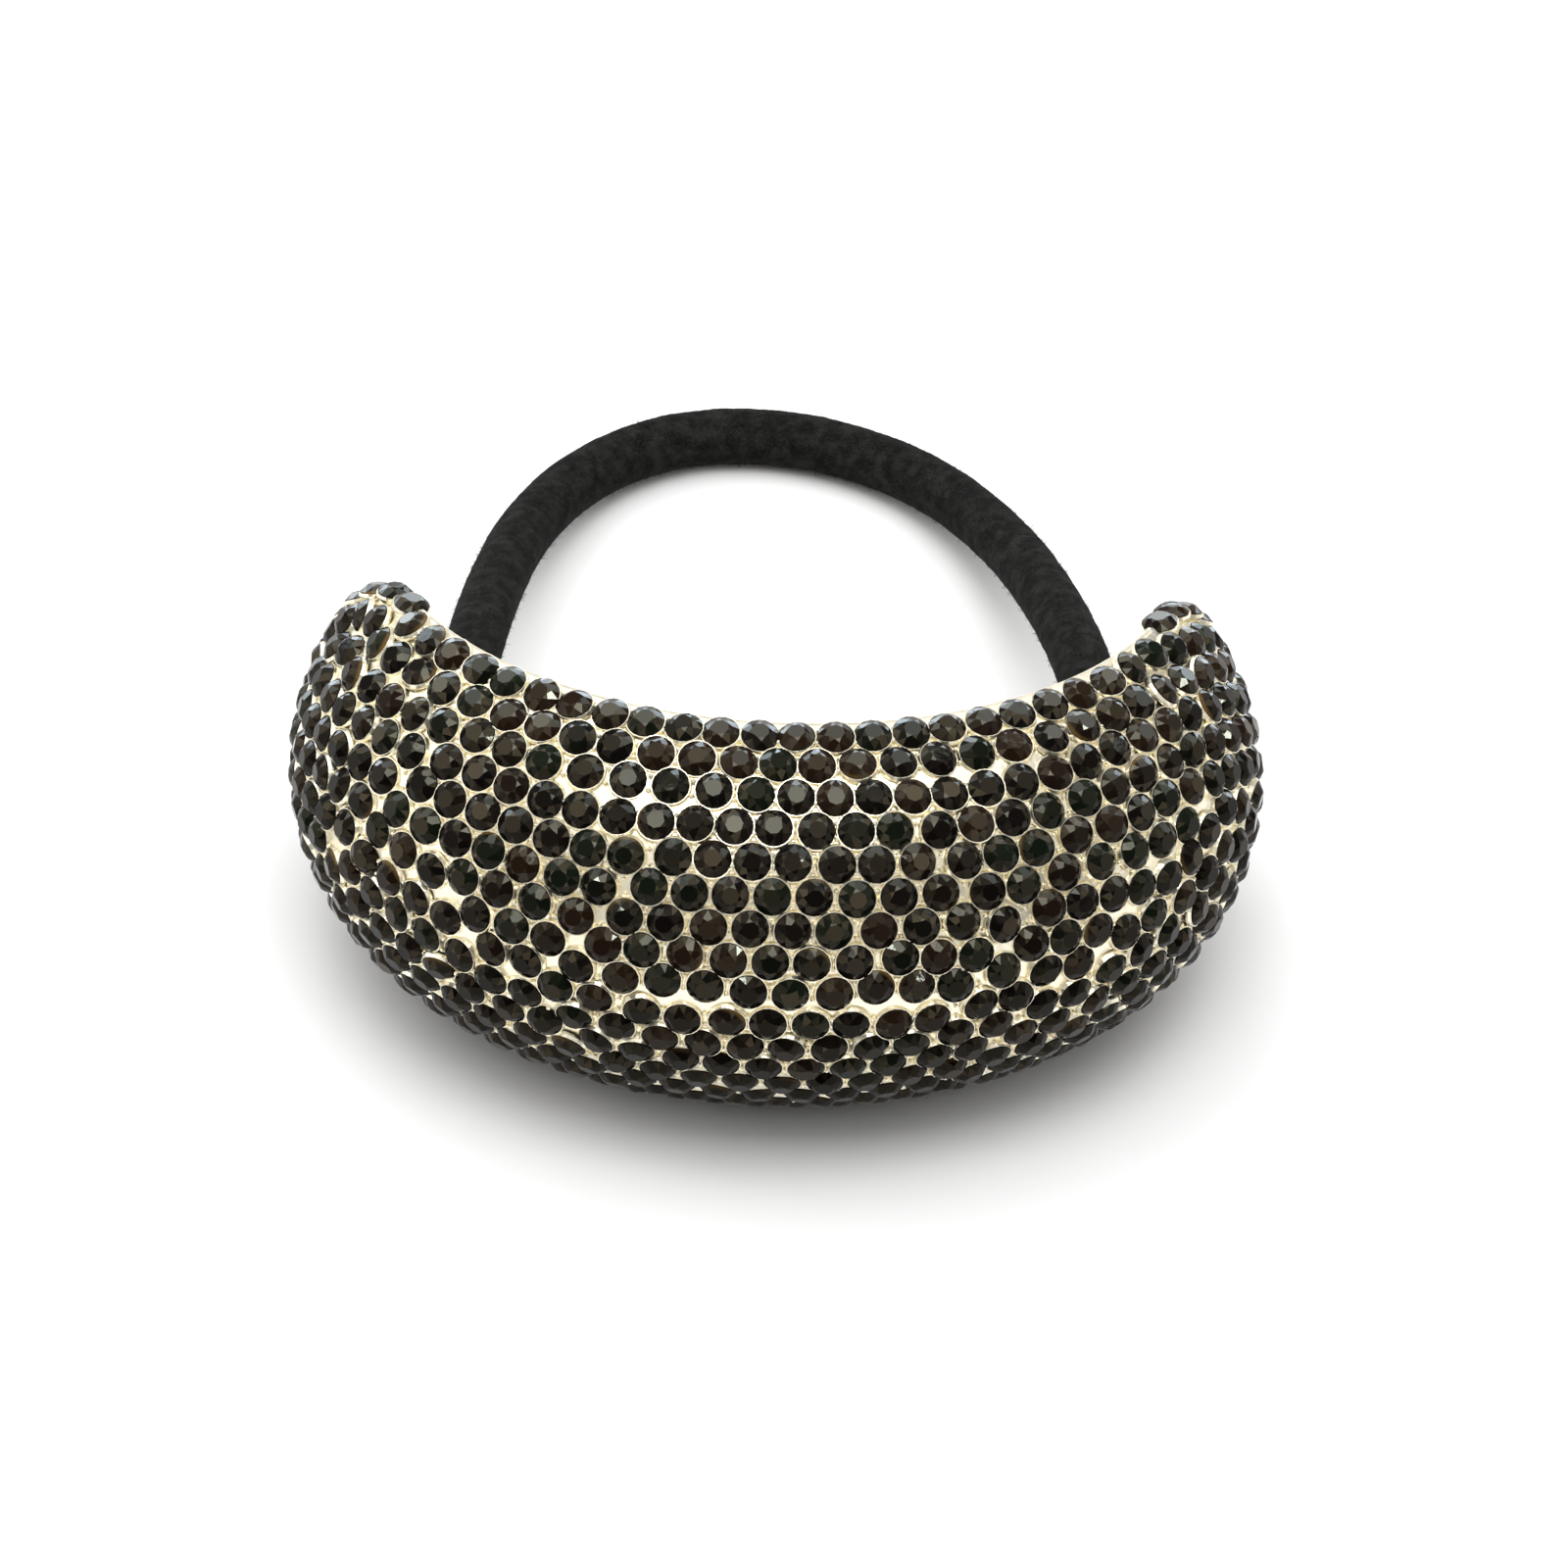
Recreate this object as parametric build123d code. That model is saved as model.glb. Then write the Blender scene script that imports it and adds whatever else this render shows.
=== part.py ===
"""Hair cuff: a hollow metal crescent set with cut stones, closed behind by an elastic cord.

The pieces are laid out level: the front of the metal is at the origin, +Y runs to the back
and the crescent's middle height is Z = 0. At the end they are tipped to the attitude in
which the cuff lies on a table, with the origin on the table below its middle.
"""
import os
from functools import cache
from math import atan2, cos, degrees, pi, radians, sin, tan

from build123d import *

# Driving dimensions, in millimetres and degrees

# Crescent
HALF_WIDTH = 32.9  # middle to side, seen from above
HALF_DEPTH = 26.4  # front to the widest place, seen from above
TUBE_RADIUS = 14.8  # outer radius of the C-shaped section
WALL = 1.2
RIM_ANGLE = 82.5  # round the section from middle height to the rim, at the front
RIM_FALL = 0.35  # share of that angle lost on the way to the tips
RIM_CURL = 0.16  # share lost besides where the tips round off
WRAP_ANGLE = 112.0  # round the plan ellipse from the front to each tip
TIP_LENGTH = 11.0  # rounded end of each tip
SECTION_COUNT = 13  # sections that the wall is lofted through

# Stones
STONE_DIAMETER = 2.5
TABLE_DIAMETER = 1.2
GIRDLE_HEIGHT = 0.35
CROWN_HEIGHT = 0.5
STONE_FACETS = 8
STONE_LIFT = 0.1  # back of a stone over the metal
STONE_PITCH = 2.83  # along a row
ROW_PITCH = 2.18  # from row to row, round the section
RIM_MARGIN = 1.3  # rim to the middle of the first row
TIP_MARGIN = 1.4  # end of a tip to the middle of the last stone
SEAM_RISE = 4.2  # angle over middle height where the rows of the two rims meet
SET_EVERY = 3  # each third stone of a row is set here

# Elastic cord and the two sockets that hold its ends
CORD_DIAMETER = 4.2
CORD_PLAY = 0.1  # cord to bore, all round
SOCKET_WALL = 1.0
SOCKET_TURN = 45.0  # round the plan ellipse to where each socket stands on the wall
SOCKET_LENGTH = 11.3  # outside of the wall to the socket's mouth
SOCKET_DEPTH = 6.5
CORD_LEAD = 6.0  # straight stretch outside each mouth

# Bends of the loose cord as it lies on the table, from its right end to its left end
CORD_BENDS = (
    (22.7, 21.4, 12.2),
    (21.0, 34.0, 8.3),
    (18.1, 45.3, 4.6),
    (12.8, 54.1, 2.5),
    (4.4, 58.5, 2.2),
    (-5.0, 58.6, 2.2),
    (-12.6, 53.6, 2.6),
    (-17.2, 44.6, 4.8),
    (-19.7, 33.2, 8.6),
    (-21.5, 20.8, 12.3),
)


def plan_frame(turn):
    """Point of the plan ellipse at an angle from the front, and its outward normal."""
    angle = radians(turn)
    point = Vector(HALF_WIDTH * sin(angle), HALF_DEPTH * (1 - cos(angle)), 0)
    normal = Vector(HALF_DEPTH * sin(angle), -HALF_WIDTH * cos(angle), 0).normalized()
    return point, normal


def rim_angle(turn):
    """Angle round the section from middle height to the rim."""
    along = turn / WRAP_ANGLE
    return RIM_ANGLE * (1 - RIM_FALL * along**2 - RIM_CURL * along**8)


def surface_point(turn, rise, out=0.0):
    """Point at a distance over the metal's outer surface, and the surface's normal there."""
    point, normal = plan_frame(turn)
    radial = normal * cos(radians(rise)) + Vector(0, 0, sin(radians(rise)))
    return point - normal * TUBE_RADIUS + radial * (TUBE_RADIUS + out), radial


def shell_section(turn):
    """C-shaped section of the wall with round rims, standing across the plan ellipse."""
    point, normal = plan_frame(turn)
    plane = Plane(origin=point, x_dir=normal, z_dir=normal.cross(Vector(0, 0, 1)))
    half = radians(rim_angle(turn))
    inner = TUBE_RADIUS - WALL
    middle = TUBE_RADIUS - WALL / 2
    cap = half + WALL / 2 / middle

    def polar(radius, angle):
        return (radius * cos(angle) - TUBE_RADIUS, radius * sin(angle))

    with BuildSketch(plane) as section:
        with BuildLine():
            ThreePointArc(polar(TUBE_RADIUS, -half), polar(TUBE_RADIUS, 0), polar(TUBE_RADIUS, half))
            ThreePointArc(polar(TUBE_RADIUS, half), polar(middle, cap), polar(inner, half))
            ThreePointArc(polar(inner, half), polar(inner, 0), polar(inner, -half))
            ThreePointArc(polar(inner, -half), polar(middle, -cap), polar(TUBE_RADIUS, -half))
        make_face()
    return section.sketch


@cache
def tip_end():
    """Depth where the rounded end of a tip starts, and the height of the rim there."""
    start = plan_frame(WRAP_ANGLE)[0].Y - TIP_LENGTH
    low, high = 0.0, WRAP_ANGLE
    while high - low > 0.001:
        turn = (low + high) / 2
        rim, _ = surface_point(turn, rim_angle(turn))
        low, high = (turn, high) if rim.Y < start else (low, turn)
    return start, (TUBE_RADIUS - WALL / 2) * sin(radians(rim_angle(low))) + WALL / 2


def tip_profile():
    """Side view of the crescent, square in front and rounded at the tips, cut right across."""
    start, height = tip_end()
    reach = start + TUBE_RADIUS
    with BuildSketch(Plane.YZ.offset(-2 * HALF_WIDTH)) as profile:
        with Locations((start - reach / 2, 0)):
            Rectangle(reach, 4 * TUBE_RADIUS)
        with Locations((start, 0)):
            Ellipse(TIP_LENGTH, height)
    return extrude(profile.sketch, 4 * HALF_WIDTH)


def socket_place(side, back):
    """Point on a socket's axis, at a distance behind the outside of the wall."""
    foot, _ = plan_frame(side * SOCKET_TURN)
    return foot + Vector(0, back, 0)


def make_shell():
    """C-section wall with rounded tips, and the two cord sockets soldered inside it."""
    end = WRAP_ANGLE * 1.05
    turns = [end * (2 * i / (SECTION_COUNT - 1) - 1) for i in range(SECTION_COUNT)]
    shell = loft([shell_section(turn) for turn in turns]) & tip_profile()

    bore = CORD_DIAMETER / 2 + CORD_PLAY
    root = 0.6 * WALL
    inside = Pos(0, HALF_DEPTH, -TUBE_RADIUS) * Ellipse(HALF_WIDTH - root, HALF_DEPTH - root)
    inside = extrude(inside, 2 * TUBE_RADIUS)
    for side in (-1, 1):
        mouth = Plane(origin=socket_place(side, SOCKET_LENGTH), z_dir=(0, -1, 0))
        shell += extrude(mouth * Circle(bore + SOCKET_WALL), 2 * SOCKET_LENGTH) & inside
        shell -= extrude(mouth * Circle(bore), SOCKET_DEPTH)
    return shell.solid()


def row_rise(row, side, turn):
    """Angle round the section of a row counted from the upper (side 1) or lower (-1) rim."""
    inset = degrees((RIM_MARGIN + row * ROW_PITCH) / TUBE_RADIUS)
    return side * (rim_angle(turn) - inset)


def has_room(row, side, turn):
    """Whether a stone fits there: on its own side of the seam, and inside the rounded tip."""
    rise = row_rise(row, side, turn)
    clearance = degrees(ROW_PITCH / 2 / TUBE_RADIUS)
    if side * (rise - SEAM_RISE) < clearance:
        return False
    start, height = tip_end()
    centre, _ = surface_point(turn, rise)
    past = max(0.0, centre.Y - start) / (TIP_LENGTH - TIP_MARGIN)
    across = centre.Z / (height - TIP_MARGIN * cos(radians(rise)))
    return past == 0 or past**2 + across**2 < 1


def row_turns(row, side):
    """Plan angles of the set stones of a row, evenly spaced; odd rows are shifted by half."""
    fine = 0.1
    spacing = SET_EVERY * STONE_PITCH
    turns = []
    turn, run = 0.0, 0.0
    due = spacing / 2 * (row % 2)
    here, _ = surface_point(turn, row_rise(row, side, turn))
    while turn <= WRAP_ANGLE:
        if run >= due:
            turns += {turn, -turn}
            due += spacing
        turn += fine
        before = here
        here, _ = surface_point(turn, row_rise(row, side, turn))
        run += (here - before).length
    return sorted(turn for turn in turns if has_room(row, side, turn))


def stone_places():
    """Plane of the back of each stone that is set, its x axis along the row."""
    places = []
    row_count = int(radians(2 * RIM_ANGLE) * TUBE_RADIUS / ROW_PITCH)
    for side in (1, -1):
        for row in range(row_count):
            for turn in row_turns(row, side):
                back, up = surface_point(turn, row_rise(row, side, turn), STONE_LIFT)
                places.append(Plane(origin=back, x_dir=(-up.Y, up.X, 0), z_dir=up))
    return places


def cut_stone():
    """Stone with a flat table, sloping crown facets and an upright girdle, standing on z = 0."""
    girdle = RegularPolygon(STONE_DIAMETER / 2, STONE_FACETS)
    table = RegularPolygon(TABLE_DIAMETER / 2, STONE_FACETS)
    top = Pos(0, 0, GIRDLE_HEIGHT)
    crown = loft([top * girdle, Pos(0, 0, GIRDLE_HEIGHT + CROWN_HEIGHT) * table], ruled=True)
    return (extrude(girdle, GIRDLE_HEIGHT) + crown).solid()


def rest_tilt(points, centre):
    """Angle by which the cuff tips back when its lowest points meet a level table.

    The points and the centre of mass are seen from the side. The cuff rests on an edge of
    their lower outline that the centre of mass stands over, the one that tips it least.
    """
    outline = []
    for y, z in sorted((point.Y, point.Z) for point in points):
        while len(outline) > 1:
            (y1, z1), (y2, z2) = outline[-2:]
            if (y2 - y1) * (z - z1) > (z2 - z1) * (y - y1):
                break
            outline.pop()
        outline.append((y, z))
    tilts = []
    for (y1, z1), (y2, z2) in zip(outline, outline[1:]):
        dy, dz = y2 - y1, z2 - z1
        share = ((centre.Y - y1) * dy + (centre.Z - z1) * dz) / (dy * dy + dz * dz)
        if 0 <= share <= 1:
            tilts.append(degrees(atan2(dz, dy)))
    return min(tilts, key=abs)


def make_cord(rest):
    """Elastic cord from one socket round to the other, in straight runs and tangent arcs."""
    ends = []
    for side in (1, -1):
        bottom = socket_place(side, SOCKET_LENGTH - SOCKET_DEPTH)
        lead = socket_place(side, SOCKET_LENGTH + CORD_LEAD)
        ends.append([(rest * Pos(*point)).position for point in (bottom, lead)])
    route = ends[0] + [Vector(*bend) for bend in CORD_BENDS] + ends[1][::-1]
    runs = [(b - a).length for a, b in zip(route, route[1:])]
    radii = []
    for i in range(1, len(route) - 1):
        turned = (route[i] - route[i - 1]).get_angle(route[i + 1] - route[i])
        radii.append(0.45 * min(runs[i - 1], runs[i]) / tan(radians(turned) / 2))
    line = FilletPolyline(*route, radius=radii)
    cord = sweep(Plane(origin=route[0], z_dir=line % 0) * Circle(CORD_DIAMETER / 2), line)
    print("cord route", [tuple(round(v, 2) for v in point) for point in route])
    print("cord runs", [round(run, 1) for run in runs])
    print("cord radii", [round(radius, 1) for radius in radii])
    section = pi * (CORD_DIAMETER / 2) ** 2
    print(f"cord length {line.length:.1f}, volume {cord.volume:.1f} of {section * line.length:.1f}")
    return cord.solid()


# Level pieces
shell = make_shell()
stone = cut_stone()
places = stone_places()
stones = Compound([stone.moved(place.location) for place in places])

# Attitude on the table, and the origin below the middle of the metal and stones
tilt = rest_tilt([v.center() for s in stones.solids() for v in s.vertices()], shell.center())
tipped = Rot(-tilt, 0, 0)
box = (tipped * Compound([shell, stones])).bounding_box()
rest = Pos(0, -box.center().Y, -box.min.Z) * tipped
print(f"rest tilt {tilt:.2f}, {len(places)} stones")

parts = {
    "cuff_shell": rest * shell,
    "stones": rest * stones,
    "elastic_cord": make_cord(rest),
}
os.makedirs("parts", exist_ok=True)
for name, piece in parts.items():
    export_step(piece, f"parts/{name}.step")
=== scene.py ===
"""Dresses the hair cuff: metal finish, stone seats, cut stones, covered elastic and a stage.

Lengths are in metres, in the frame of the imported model. The crescent's formulas are worked
out level, with the front of the metal at the origin, and the attitude on the table then
tips what they give.
"""
import math
import random

import bpy
import numpy as np
from mathutils import Matrix, Vector, noise


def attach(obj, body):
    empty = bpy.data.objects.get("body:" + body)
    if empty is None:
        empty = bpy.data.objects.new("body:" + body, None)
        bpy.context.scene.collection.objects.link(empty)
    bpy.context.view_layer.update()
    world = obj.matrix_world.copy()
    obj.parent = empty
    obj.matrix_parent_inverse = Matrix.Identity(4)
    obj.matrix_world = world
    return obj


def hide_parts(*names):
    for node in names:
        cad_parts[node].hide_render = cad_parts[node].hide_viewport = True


bl_info = {
    "name": "Hair cuff dressing",
    "version": (1, 0, 0),
    "blender": (4, 5, 0),
    "location": "3D View > Sidebar > Hair cuff",
    "description": "Finishes the metal, sets the stones, covers the elastic and lights the stage",
    "category": "Object",
}

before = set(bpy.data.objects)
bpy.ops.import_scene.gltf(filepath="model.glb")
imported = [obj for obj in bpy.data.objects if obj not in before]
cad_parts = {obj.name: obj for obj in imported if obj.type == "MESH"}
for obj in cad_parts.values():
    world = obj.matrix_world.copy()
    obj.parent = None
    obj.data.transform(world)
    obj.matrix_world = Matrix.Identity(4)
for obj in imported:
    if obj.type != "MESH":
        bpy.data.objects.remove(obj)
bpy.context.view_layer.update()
BODY = "root"
MM = 0.001

# Route of the loose elastic, from the bottom of its right socket to that of its left one
ELASTIC_ROUTE_MM = (
    (23.26, -5.16, 15.44),
    (23.26, 7.3, 14.55),
    (22.7, 21.4, 12.2),
    (21.0, 34.0, 8.3),
    (18.1, 45.3, 4.6),
    (12.8, 54.1, 2.5),
    (4.4, 58.5, 2.2),
    (-5.0, 58.6, 2.2),
    (-12.6, 53.6, 2.6),
    (-17.2, 44.6, 4.8),
    (-19.7, 33.2, 8.6),
    (-21.5, 20.8, 12.3),
    (-23.26, 7.3, 14.55),
    (-23.26, -5.16, 15.44),
)

# Seeds of the random draws
STONE_SEED = 24
TINT_SEED = 5
FIBRE_SEED = 7

# How the stones' places are worked out
FINE_STEP = math.radians(0.1)  # between points along a row or an edge
ODD_STEP = math.radians(0.8)  # between the places tried for an odd stone
ODD_ROUNDS = 3  # rounds of easing the stones apart and of filling the gaps
EASING_ROUNDS = 80  # small moves in each easing
HALVINGS = 30  # of the range that holds a point of a tip's edge
RIM_SLACK = 0.99  # share of the rim margin that a row's stone needs
RIM_PRESS = 0.9  # share of it that an eased stone may be pressed to
FRONT_EASE = 0.25  # share of the tips' ease that is kept at the front
SEAM_PRESS = 0.25  # how much the seam is pressed together, as a share of how much it gapes
SEAM_EDGE = 4  # how quickly the shift turns over across the seam
TIP_UNREST = 1.3  # how much more the stones stray and lean at the tips
SPREAD = 0.5  # standard deviation of a stray or a lean, as a share of its size
LEAST_GAP = 0.01 * MM  # keeps a division from zero

# Shares and sides of the small shapes
STONE_FOOT = 0.96  # radius of a stone's foot, as a share of the girdle's
STONE_BEVEL = 0.4  # height of the bevel at the foot, as a share of the girdle's
RING_SIDES = 20
GRAIN_SIDES = 7
GRAIN_PROFILE = ((0.5, -0.85), (0.95, -0.3), (0.93, 0.35), (0.5, 0.85))
GRAIN_REACH = 1.3  # widest distance that grains bridge, in pitches
STITCH_POINTS = 3  # of the cover's mesh to a stitch, both ways
LUMP_SCALE = 700.0  # of the lumps on the elastic, per metre
KNOB_SCALE = 2300.0  # of the knobs on the lumps, per metre
KNOB_SHARE = 0.7  # height of the knobs, as a share of the lumps'
FIBRE_RADIUS = 0.015 * MM
FIBRE_LEAN = 1.4  # most that a fibre leans each way, as a slope
FLOOR_GAP = 0.02 * MM  # between the fibres and the table

# Scales of the finishes' noise, per metre
CLOUD_SCALE = 260.0
PORE_SCALE = 2600.0
HAZE_SCALE = 700.0
PATCH_SCALE = 900.0
YARN_SCALE = 5200.0
BOARD_SCALE = 18.0

# The surround: places are shares of the way from its middle to its walls
DARK_SIDE = (-0.62, -0.2)  # where the dark side goes over into the pale walls
CEILING = (0.55, 0.95)  # where the walls go over into the ceiling
WALL_SCALE = 2.4  # of the bright and dim patches on the walls
WALL_PATCH = (0.38, 0.62)  # of the noise, from a dim patch to a bright one
WALL_BASE = 0.25  # strength of the dim patches
WALL_GAIN = 1.5  # strength that the bright ones add

LAMP_GAP = 10 * MM  # lamps in one plane would hide each other
CLIP_START, CLIP_END = 0.01, 20.0  # the camera's, in metres


def length(name, description, millimetres):
    """Property that holds a length, given here in millimetres."""
    return bpy.props.FloatProperty(
        name=name,
        description=description,
        default=millimetres * MM,
        precision=5,
        subtype="DISTANCE",
        unit="LENGTH",
    )


def angle(name, description, degrees):
    """Property that holds an angle, given here in degrees."""
    return bpy.props.FloatProperty(
        name=name,
        description=description,
        default=math.radians(degrees),
        subtype="ANGLE",
        unit="ROTATION",
    )


def share(name, description, value):
    """Property that holds a share from 0 to 1."""
    return bpy.props.FloatProperty(
        name=name, description=description, default=value, min=0.0, max=1.0, subtype="FACTOR"
    )


def amount(name, description, value):
    """Property that holds a plain number, such as a strength."""
    return bpy.props.FloatProperty(name=name, description=description, default=value)


def count(name, description, value):
    """Property that holds a whole number."""
    return bpy.props.IntProperty(name=name, description=description, default=value, min=1)


def colour(name, description, value):
    """Property that holds a colour."""
    return bpy.props.FloatVectorProperty(
        name=name, description=description, default=value, size=3, min=0.0, max=1.0, subtype="COLOR"
    )


class CrescentSizes(bpy.types.PropertyGroup):
    """The metal crescent's outer surface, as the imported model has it."""

    half_width: length("Half width", "Middle to side, seen from above", 32.9)
    half_depth: length("Half depth", "Front to the widest place, seen from above", 26.4)
    tube_radius: length("Section radius", "Outer radius of the C-shaped section", 14.8)
    rim_angle: angle("Rim angle", "Round the section from middle height to the rim", 82.5)
    rim_fall: share("Rim fall", "Share of the rim angle lost on the way to the tips", 0.35)
    rim_curl: share("Rim curl", "Share lost besides where the tips round off", 0.16)
    wrap_angle: angle("Wrap angle", "Round the plan from the front to each tip", 112.0)
    tip_length: length("Tip length", "Rounded end of each tip", 11.0)
    wall: length("Wall", "Thickness of the metal", 1.2)
    rest_tilt: angle("Rest tilt", "Tip of the level crescent as it lies on the table", -4.084)
    rest_back: length("Rest depth", "Front of the level crescent along Y, at rest", -17.665)
    rest_rise: length("Rest height", "Middle height of the crescent over the table, at rest", 16.334)


class StoneSizes(bpy.types.PropertyGroup):
    """The cut stones and the rows they stand in."""

    diameter: length("Diameter", "Across the girdle", 2.5)
    table: length("Table", "Across the flat top", 1.2)
    star: length("Star", "Across the corners where the crown's facets meet", 1.64)
    girdle: length("Girdle", "Height of the upright edge", 0.3)
    crown: length("Crown", "Girdle to table", 0.5)
    lift: length("Lift", "Bottom of a stone over the metal", 0.02)
    facets: count("Facets", "Main facets round the crown", 8)
    pitch: length("Stone pitch", "From stone to stone along a row", 2.83)
    row_pitch: length("Row pitch", "From row to row, round the section", 2.18)
    rim_margin: length("Rim margin", "Rim to the middle of the first row", 1.3)
    tip_margin: length("Tip margin", "End of a tip to the middle of the last stone", 1.4)
    seam_rise: angle("Seam", "Height round the section where the two rims' rows meet", 4.2)
    odd_gap: length("Odd gap", "Least distance from an odd stone to its neighbours", 1.95)
    clearance: length("Clearance", "Least gap between the girdles of two stones", 0.03)
    ease: length("Ease", "Wider gap that the stones keep at the tips", 0.22)
    seam_turn: angle("Open seam", "Front to where the seam gapes most, round the plan", 15.0)
    seam_shift: length("Seam shift", "How far the rows beside the seam are off their places", 0.65)
    seam_reach: length("Seam reach", "How far from the seam rows are off their places", 4.0)
    stray: length("Stray", "How far a stone may sit off its place", 0.14)
    lean: angle("Lean", "How far a stone may lean", 8.0)
    tip_lean: angle("Tip lean", "How far the last stones lean over the edge of a tip", 42.0)


class SeatSizes(bpy.types.PropertyGroup):
    """The raised metal ring round each stone, and the grains between neighbours."""

    crest_radius: length("Crest radius", "Middle of a stone to the top of its ring", 1.31)
    crest_width: length("Crest width", "Flat top of a ring", 0.05)
    foot_radius: length("Foot radius", "Middle of a stone to the foot of its ring", 1.42)
    height: length("Height", "Ring over the metal", 0.24)
    cup_radius: length("Cup radius", "Foot of the cups that hold the stones over the tips' edges", 0.5)
    cup_depth: length("Cup depth", "Depth of those cups", 0.9)
    sink: length("Sink", "Depth of the rings' roots in the metal", 0.14)
    grain: length("Grain", "Radius of a grain", 0.17)
    grain_rise: length("Grain rise", "Middle of a grain over the metal", 0.16)
    grain_spread: length("Grain spread", "Grain to the line between two neighbours", 0.5)


class ElasticSizes(bpy.types.PropertyGroup):
    """The covered elastic."""

    diameter: length("Diameter", "Across the cover", 4.2)
    stitch: length("Stitch", "Length of a stitch of the cover", 0.62)
    wales: count("Wales", "Columns of stitches round the cover", 22)
    relief: length("Relief", "Height of the stitches", 0.03)
    lump: length("Lumps", "Unevenness of the cover", 0.045)
    fibre: length("Fibre", "Longest loose fibre", 0.55)
    fibre_count: count("Fibres", "Loose fibres on the cover", 5200)


class Finishes(bpy.types.PropertyGroup):
    """Colours of the object and of the floor."""

    gold: colour("Gold", "Pale gold plating", (0.94, 0.875, 0.69))
    # Painted shade: the dark brown that random patches of the plating are blended towards, where it is
    # also duller
    gold_stain_and_shade: colour("Gold in hollows", "Plating where it is thin and dull", (0.42, 0.33, 0.17))
    stone: colour("Stone", "Black glass", (0.0018, 0.0013, 0.0011))
    stone_warm: colour("Warm stone", "Brown tint of some stones", (0.006, 0.003, 0.0016))
    stone_cool: colour("Cool stone", "Green tint of some stones", (0.002, 0.003, 0.0015))
    # Painted glow: the colour that the glass is given low on one side of some stones
    painted_glow: colour("Amber", "Glow low in some stones", (0.085, 0.045, 0.011))
    # Painted glint: the lighter colour that a few facets, picked at random, are given
    painted_glint: colour("Flash", "Light that some facets give back from inside", (0.027, 0.02, 0.012))
    elastic: colour("Elastic", "Black yarn", (0.004, 0.004, 0.0038))
    # Painted sheen, with dust: the colour of the paler patches on the yarn
    elastic_dust_and_sheen: colour("Elastic fuzz", "Yarn where loose fibres catch light", (0.031, 0.031, 0.029))
    floor: colour("Floor", "White table", (0.76, 0.76, 0.76))


class StageSettings(bpy.types.PropertyGroup):
    """Camera and light."""

    distance: length("Distance", "Camera to the point on the table that it aims at", 480.0)
    azimuth: angle("Azimuth", "Camera round the object, from the front", -4.542)
    elevation: angle("Elevation", "Camera over the table", 43.206)
    roll: angle("Roll", "Camera about its own axis", 4.442)
    aim_across: length("Aim across", "Point that the camera aims at, along X", 1.651)
    aim_back: length("Aim back", "Point that the camera aims at, along Y", 22.47)
    lens: bpy.props.FloatProperty(
        name="Lens", description="Focal length", default=152.481, subtype="DISTANCE_CAMERA"
    )
    floor_size: length("Floor", "Across the floor", 6000.0)
    surround: amount("Surround", "Brightness of the pale walls", 1.3)
    ceiling: amount("Ceiling", "Brightness that the ceiling adds", 0.5)
    near_wall: amount("Near wall", "How much brighter the wall on the left is", 0.35)
    shade: amount("Shade", "Brightness of the dark side, behind the camera", 0.08)
    top_power: amount("Top power", "Power of the soft light overhead, in watts", 1.4)
    gem_power: amount("Gem power", "Power of the light overhead for the stones alone", 5.0)
    back_power: amount("Back power", "Power of the light behind for the stones alone", 13.0)
    spark_power: amount("Spark power", "Power of each small lamp for the stones alone", 1.7)
    spark_size: length("Spark size", "Across each small lamp", 60.0)
    spark_turn: angle("Spark turn", "Each small lamp, to its side of right overhead", 34.0)
    rear_power: amount("Rear power", "Power of the low light behind for the stones alone", 32.0)
    rear_width: length("Rear width", "Both lights behind, along X", 1800.0)
    rear_depth: length("Rear depth", "Low light behind, upright", 450.0)
    rear_climb: angle("Rear climb", "Low light behind, over the table", 15.0)
    metal_power: amount("Metal power", "Power of the wide light in front for the metal alone", 4.6)
    stone_tone: colour("Stone tone", "Colour of the lights for the stones alone", (0.72, 0.86, 1.0))
    top_width: length("Top width", "Soft light overhead, along X", 320.0)
    top_depth: length("Top depth", "Lights overhead and behind, along Y", 300.0)
    top_front: length("Top front", "Soft light overhead, how far before the cuff", 220.0)
    top_height: length("Top height", "Near lamps, from the middle of the table", 700.0)
    back_turn: angle("Back light", "Light behind, from right overhead", 26.0)
    fill_power: amount("Fill power", "Power of the wide light overhead, in watts", 10.2)
    fill_size: length("Fill size", "Across the wide light overhead", 1500.0)
    fill_front: length("Fill front", "Wide light overhead, how far before the cuff", 320.0)
    fill_height: length("Fill height", "Far lamps, from the middle of the table", 1000.0)
    metal_climb: angle("Metal light", "Light in front for the metal alone, over the table", 25.0)


class Wire:
    """A shader value that can be used in expressions."""

    def __init__(self, finish, socket):
        self.finish = finish
        self.socket = socket

    def output(self, name):
        """Another output of the same node."""
        return Wire(self.finish, self.socket.node.outputs[name])

    def maths(self, operation, *values):
        """What a maths node makes of this value and of others."""
        inputs = dict(enumerate((self, *values)))
        return self.finish.node("ShaderNodeMath", {"operation": operation}, inputs)

    def __add__(self, other):
        return self.maths("ADD", other)

    def __radd__(self, other):
        return self.maths("ADD", other)

    def __mul__(self, other):
        return self.maths("MULTIPLY", other)

    def __rmul__(self, other):
        return self.maths("MULTIPLY", other)

    def __sub__(self, other):
        return self.maths("SUBTRACT", other)

    def __rsub__(self, other):
        return (self * -1.0) + other

    def __pow__(self, other):
        return self.maths("POWER", other)

    def step(self, low, high):
        """0 below low, 1 above high and a smooth rise between them."""
        settings = {"interpolation_type": "SMOOTHSTEP"}
        inputs = {"Value": self, "From Min": low, "From Max": high}
        return self.finish.node("ShaderNodeMapRange", settings, inputs)


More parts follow.
